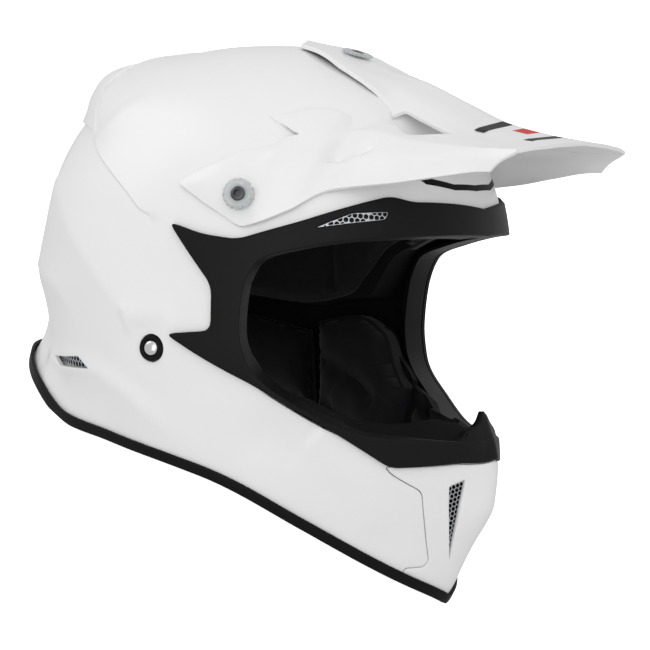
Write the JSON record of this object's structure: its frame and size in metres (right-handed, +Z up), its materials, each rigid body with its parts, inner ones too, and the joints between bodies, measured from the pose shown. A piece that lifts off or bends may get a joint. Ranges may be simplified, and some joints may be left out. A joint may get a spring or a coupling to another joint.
{
  "type": "motocross helmet",
  "caption": "White full-face motocross helmet with a peaked visor on knurled screws, an open eyeport, mesh vents, padded liner and a D-ring chin strap.",
  "frame": {"origin": "centre of the bounding box, at the height of the surface the helmet rests on", "axes": "+Z up with the helmet standing on its lower rim, -Y towards the chin bar (front), -X towards the wearer's right"},
  "size_m": [0.2574, 0.3434, 0.2855],
  "materials": {
    "gloss_white": "gloss",
    "dark_matte": "matte",
    "trim_rubber": "matte",
    "mesh_metal": "satin",
    "foam_black": "matte",
    "liner_fabric": "matte",
    "strap_webbing": "matte",
    "black_plastic": "satin",
    "brass_insert": "satin",
    "dark_steel": "satin",
    "bright_steel": "polished",
    "frosted_nylon": "satin"
  },
  "bodies": {
    "helmet": {"outer_shell": "gloss_white", "chin_guard": "gloss_white", "rear_spoiler": "gloss_white", "eyeport_frame": "dark_matte", "chin_bar_trim_right": "dark_matte", "chin_bar_trim_left": "dark_matte", "nose_deflector": "dark_matte", "base_trim": "trim_rubber", "eyeport_gasket": "trim_rubber", "rivet_ring_right": "trim_rubber", "rivet_ring_left": "trim_rubber", "chin_vent_mesh_right": "mesh_metal", "chin_vent_mesh_left": "mesh_metal", "brow_vent_mesh_right": "mesh_metal", "brow_vent_mesh_left": "mesh_metal", "rear_vent_mesh_right": "mesh_metal", "rear_vent_mesh_left": "mesh_metal", "eps_crown_liner": "foam_black", "eps_chin_liner": "foam_black", "cheek_eps_right": "foam_black", "cheek_eps_left": "foam_black", "crown_comfort_liner": "liner_fabric", "brow_pad": "liner_fabric", "neck_roll": "liner_fabric", "cheek_pad_right": "liner_fabric", "cheek_pad_left": "liner_fabric", "chin_bar_pad": "liner_fabric", "liner_press_studs": "black_plastic", "visor_spacers": "trim_rubber", "visor_inserts": "brass_insert", "strap_rivet_right": "bright_steel", "strap_rivet_left": "bright_steel", "strap_plate_right": "bright_steel", "strap_plate_left": "bright_steel"},
    "visor": {"visor_peak": "gloss_white"},
    "side_screw_right": {"visor_screw_right": "dark_steel", "visor_knob_right": "frosted_nylon"},
    "side_screw_left": {"visor_screw_left": "dark_steel", "visor_knob_left": "frosted_nylon"},
    "top_screw": {"visor_screw_top": "dark_steel", "visor_knob_top": "frosted_nylon"},
    "chin_strap": {"chin_strap_long": "strap_webbing", "chin_strap_short": "strap_webbing", "strap_ring_upper": "bright_steel", "strap_ring_lower": "bright_steel", "strap_sleeve_right": "liner_fabric", "strap_sleeve_left": "liner_fabric", "strap_snap": "black_plastic"}
  },
  "joints": [
    {"name": "visor_tilt", "type": "hinge", "parent": "helmet", "child": "visor", "pos_m": [0, 0.00793, 0.18003], "axis": [-1, 0, 0], "range_deg": [-1, 4]},
    {"name": "side_screw_right_spin", "type": "hinge", "parent": "helmet", "child": "side_screw_right", "pos_m": [-0.11567, 0.00768, 0.18016], "axis": [-0.9469, -0.0993, 0.3057], "continuous": true},
    {"name": "side_screw_left_spin", "type": "hinge", "parent": "helmet", "child": "side_screw_left", "pos_m": [0.11567, 0.00768, 0.18016], "axis": [0.9469, -0.0993, 0.3057], "continuous": true},
    {"name": "top_screw_spin", "type": "hinge", "parent": "helmet", "child": "top_screw", "pos_m": [0, 0.03255, 0.26219], "axis": [0, 0.1824, 0.9832], "continuous": true},
    {"name": "chin_strap_swing", "type": "hinge", "parent": "helmet", "child": "chin_strap", "pos_m": [0, 0.01681, 0.07575], "axis": [1, 0, 0], "range_deg": [0, 20]}
  ]
}
